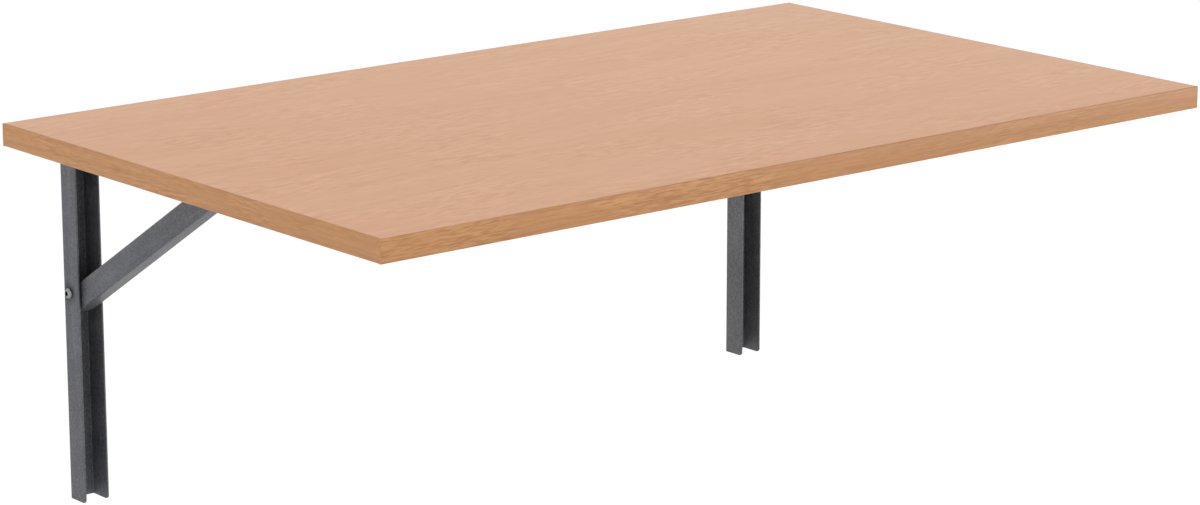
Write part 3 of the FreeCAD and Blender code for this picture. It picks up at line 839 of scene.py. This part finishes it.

# %% [markdown]
# ## Screws in the arms
#
# Three countersunk chipboard screws hold each arm under the leaf, their heads flush in the arm's
# web. The cross recess narrows as it goes down, so that the driver wedges in it. The thread is
# coarse, sharp and high, because chipboard crumbles, and runs out to a point: core and crest both
# shrink over the last 4 mm. The board hides it, so it could be left plain, but it is made in full.

# %% Screw shape
SCREW_LENGTH, SCREW_PITCH, SCREW_CORE, SCREW_CREST = 18.0, 1.8, 1.3, 1.95
SCREW_ROWS, POINT_LENGTH, POINT_START, POINT_SHARE = 43, 4.0, 0.1, 0.04
THREAD_START, NECK_START, NECK_RADIUS = 5.5, 5.2, 1.7
SCREW_HEAD, HEAD_CONE, HEAD_RIM, RIM_FLARE, HEAD_FLAT = 3.9, 2.1, 0.15, 0.1, 2.5
RECESS_REACH, RECESS_TURN, RECESS_DEPTH, RECESS_FLOOR, RECESS_TIP = 2.0, 15, 1.5, 0.55, 1.8

screwed = np.linspace(POINT_START - SCREW_LENGTH, -THREAD_START, SCREW_ROWS)
sharpened = np.clip((screwed + SCREW_LENGTH) / POINT_LENGTH, POINT_SHARE, 1)
screw_radius = thread(screwed, SCREW_PITCH, SCREW_CORE * sharpened, SCREW_CREST * sharpened ** 0.5,
                      sharpness=4.5)
recess = cross(RECESS_REACH, RECESS_REACH * math.tan(math.radians(RECESS_TURN)))
screw_rows = [
    ring(-SCREW_LENGTH, 0), ring(screwed, screw_radius),
    ring([-NECK_START, -HEAD_CONE, -HEAD_RIM, 0],
         [[NECK_RADIUS], [NECK_RADIUS], [SCREW_HEAD - RIM_FLARE], [SCREW_HEAD]]),
    ring(0, HEAD_FLAT), ring(0, recess), ring(-RECESS_DEPTH, RECESS_FLOOR * recess), ring(-RECESS_TIP, 0),
]
print("screw:", sum(len(row) for row in screw_rows), "rows,", SCREW_LENGTH, "mm long")

# %% Arm screws
SCREW_COUNT = 3
HEAD_ROOM = 4 * MM

for side in SIDES:
    node = side + "_arm_screws"
    low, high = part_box(node)
    outs = np.linspace(high.y - HEAD_ROOM, low.y + HEAD_ROOM, SCREW_COUNT)
    places = [(((low.x + high.x) / 2, out, low.z), (0, 0, -1), (1, 0, 0)) for out in outs]
    fastener(node, screw_rows, False, places, [zinc], "leaf")

# %% [markdown]
# ## Rivets
#
# Each strut turns on one long rivet across the arm. Its ends were spun over into low, wide domes,
# thin enough to pass inside the upright when the table is folded. A flattened ball would leave a
# hidden half to cut away. So a dome is again an arc of the outline, but a very flat one: 0.35 mm high
# and 4.4 mm in radius.

# %% Rivets
SPUN_HEIGHT, SPUN_RADIUS, SPUN_ROWS, RIVET_RADIUS = 0.35, 4.4, 9, 3.0

lean = np.linspace(0, math.pi / 2, SPUN_ROWS)
for side in SIDES:
    node = side + "_strut_pin"
    low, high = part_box(node)
    middle = (low + high) / 2
    half_length = (high.x - low.x) / 2 / MM
    spun_along = half_length + SPUN_HEIGHT * np.cos(lean)
    rivet_rows = [
        ring(-spun_along, (SPUN_RADIUS * np.sin(lean))[:, None]),
        ring([-half_length, half_length], [[RIVET_RADIUS], [RIVET_RADIUS]]),
        ring(spun_along[::-1], (SPUN_RADIUS * np.sin(lean[::-1]))[:, None]),
    ]
    fastener(node, rivet_rows, False, [(tuple(middle), (1, 0, 0), (0, 1, 0))], [rivet_steel],
             "leaf")
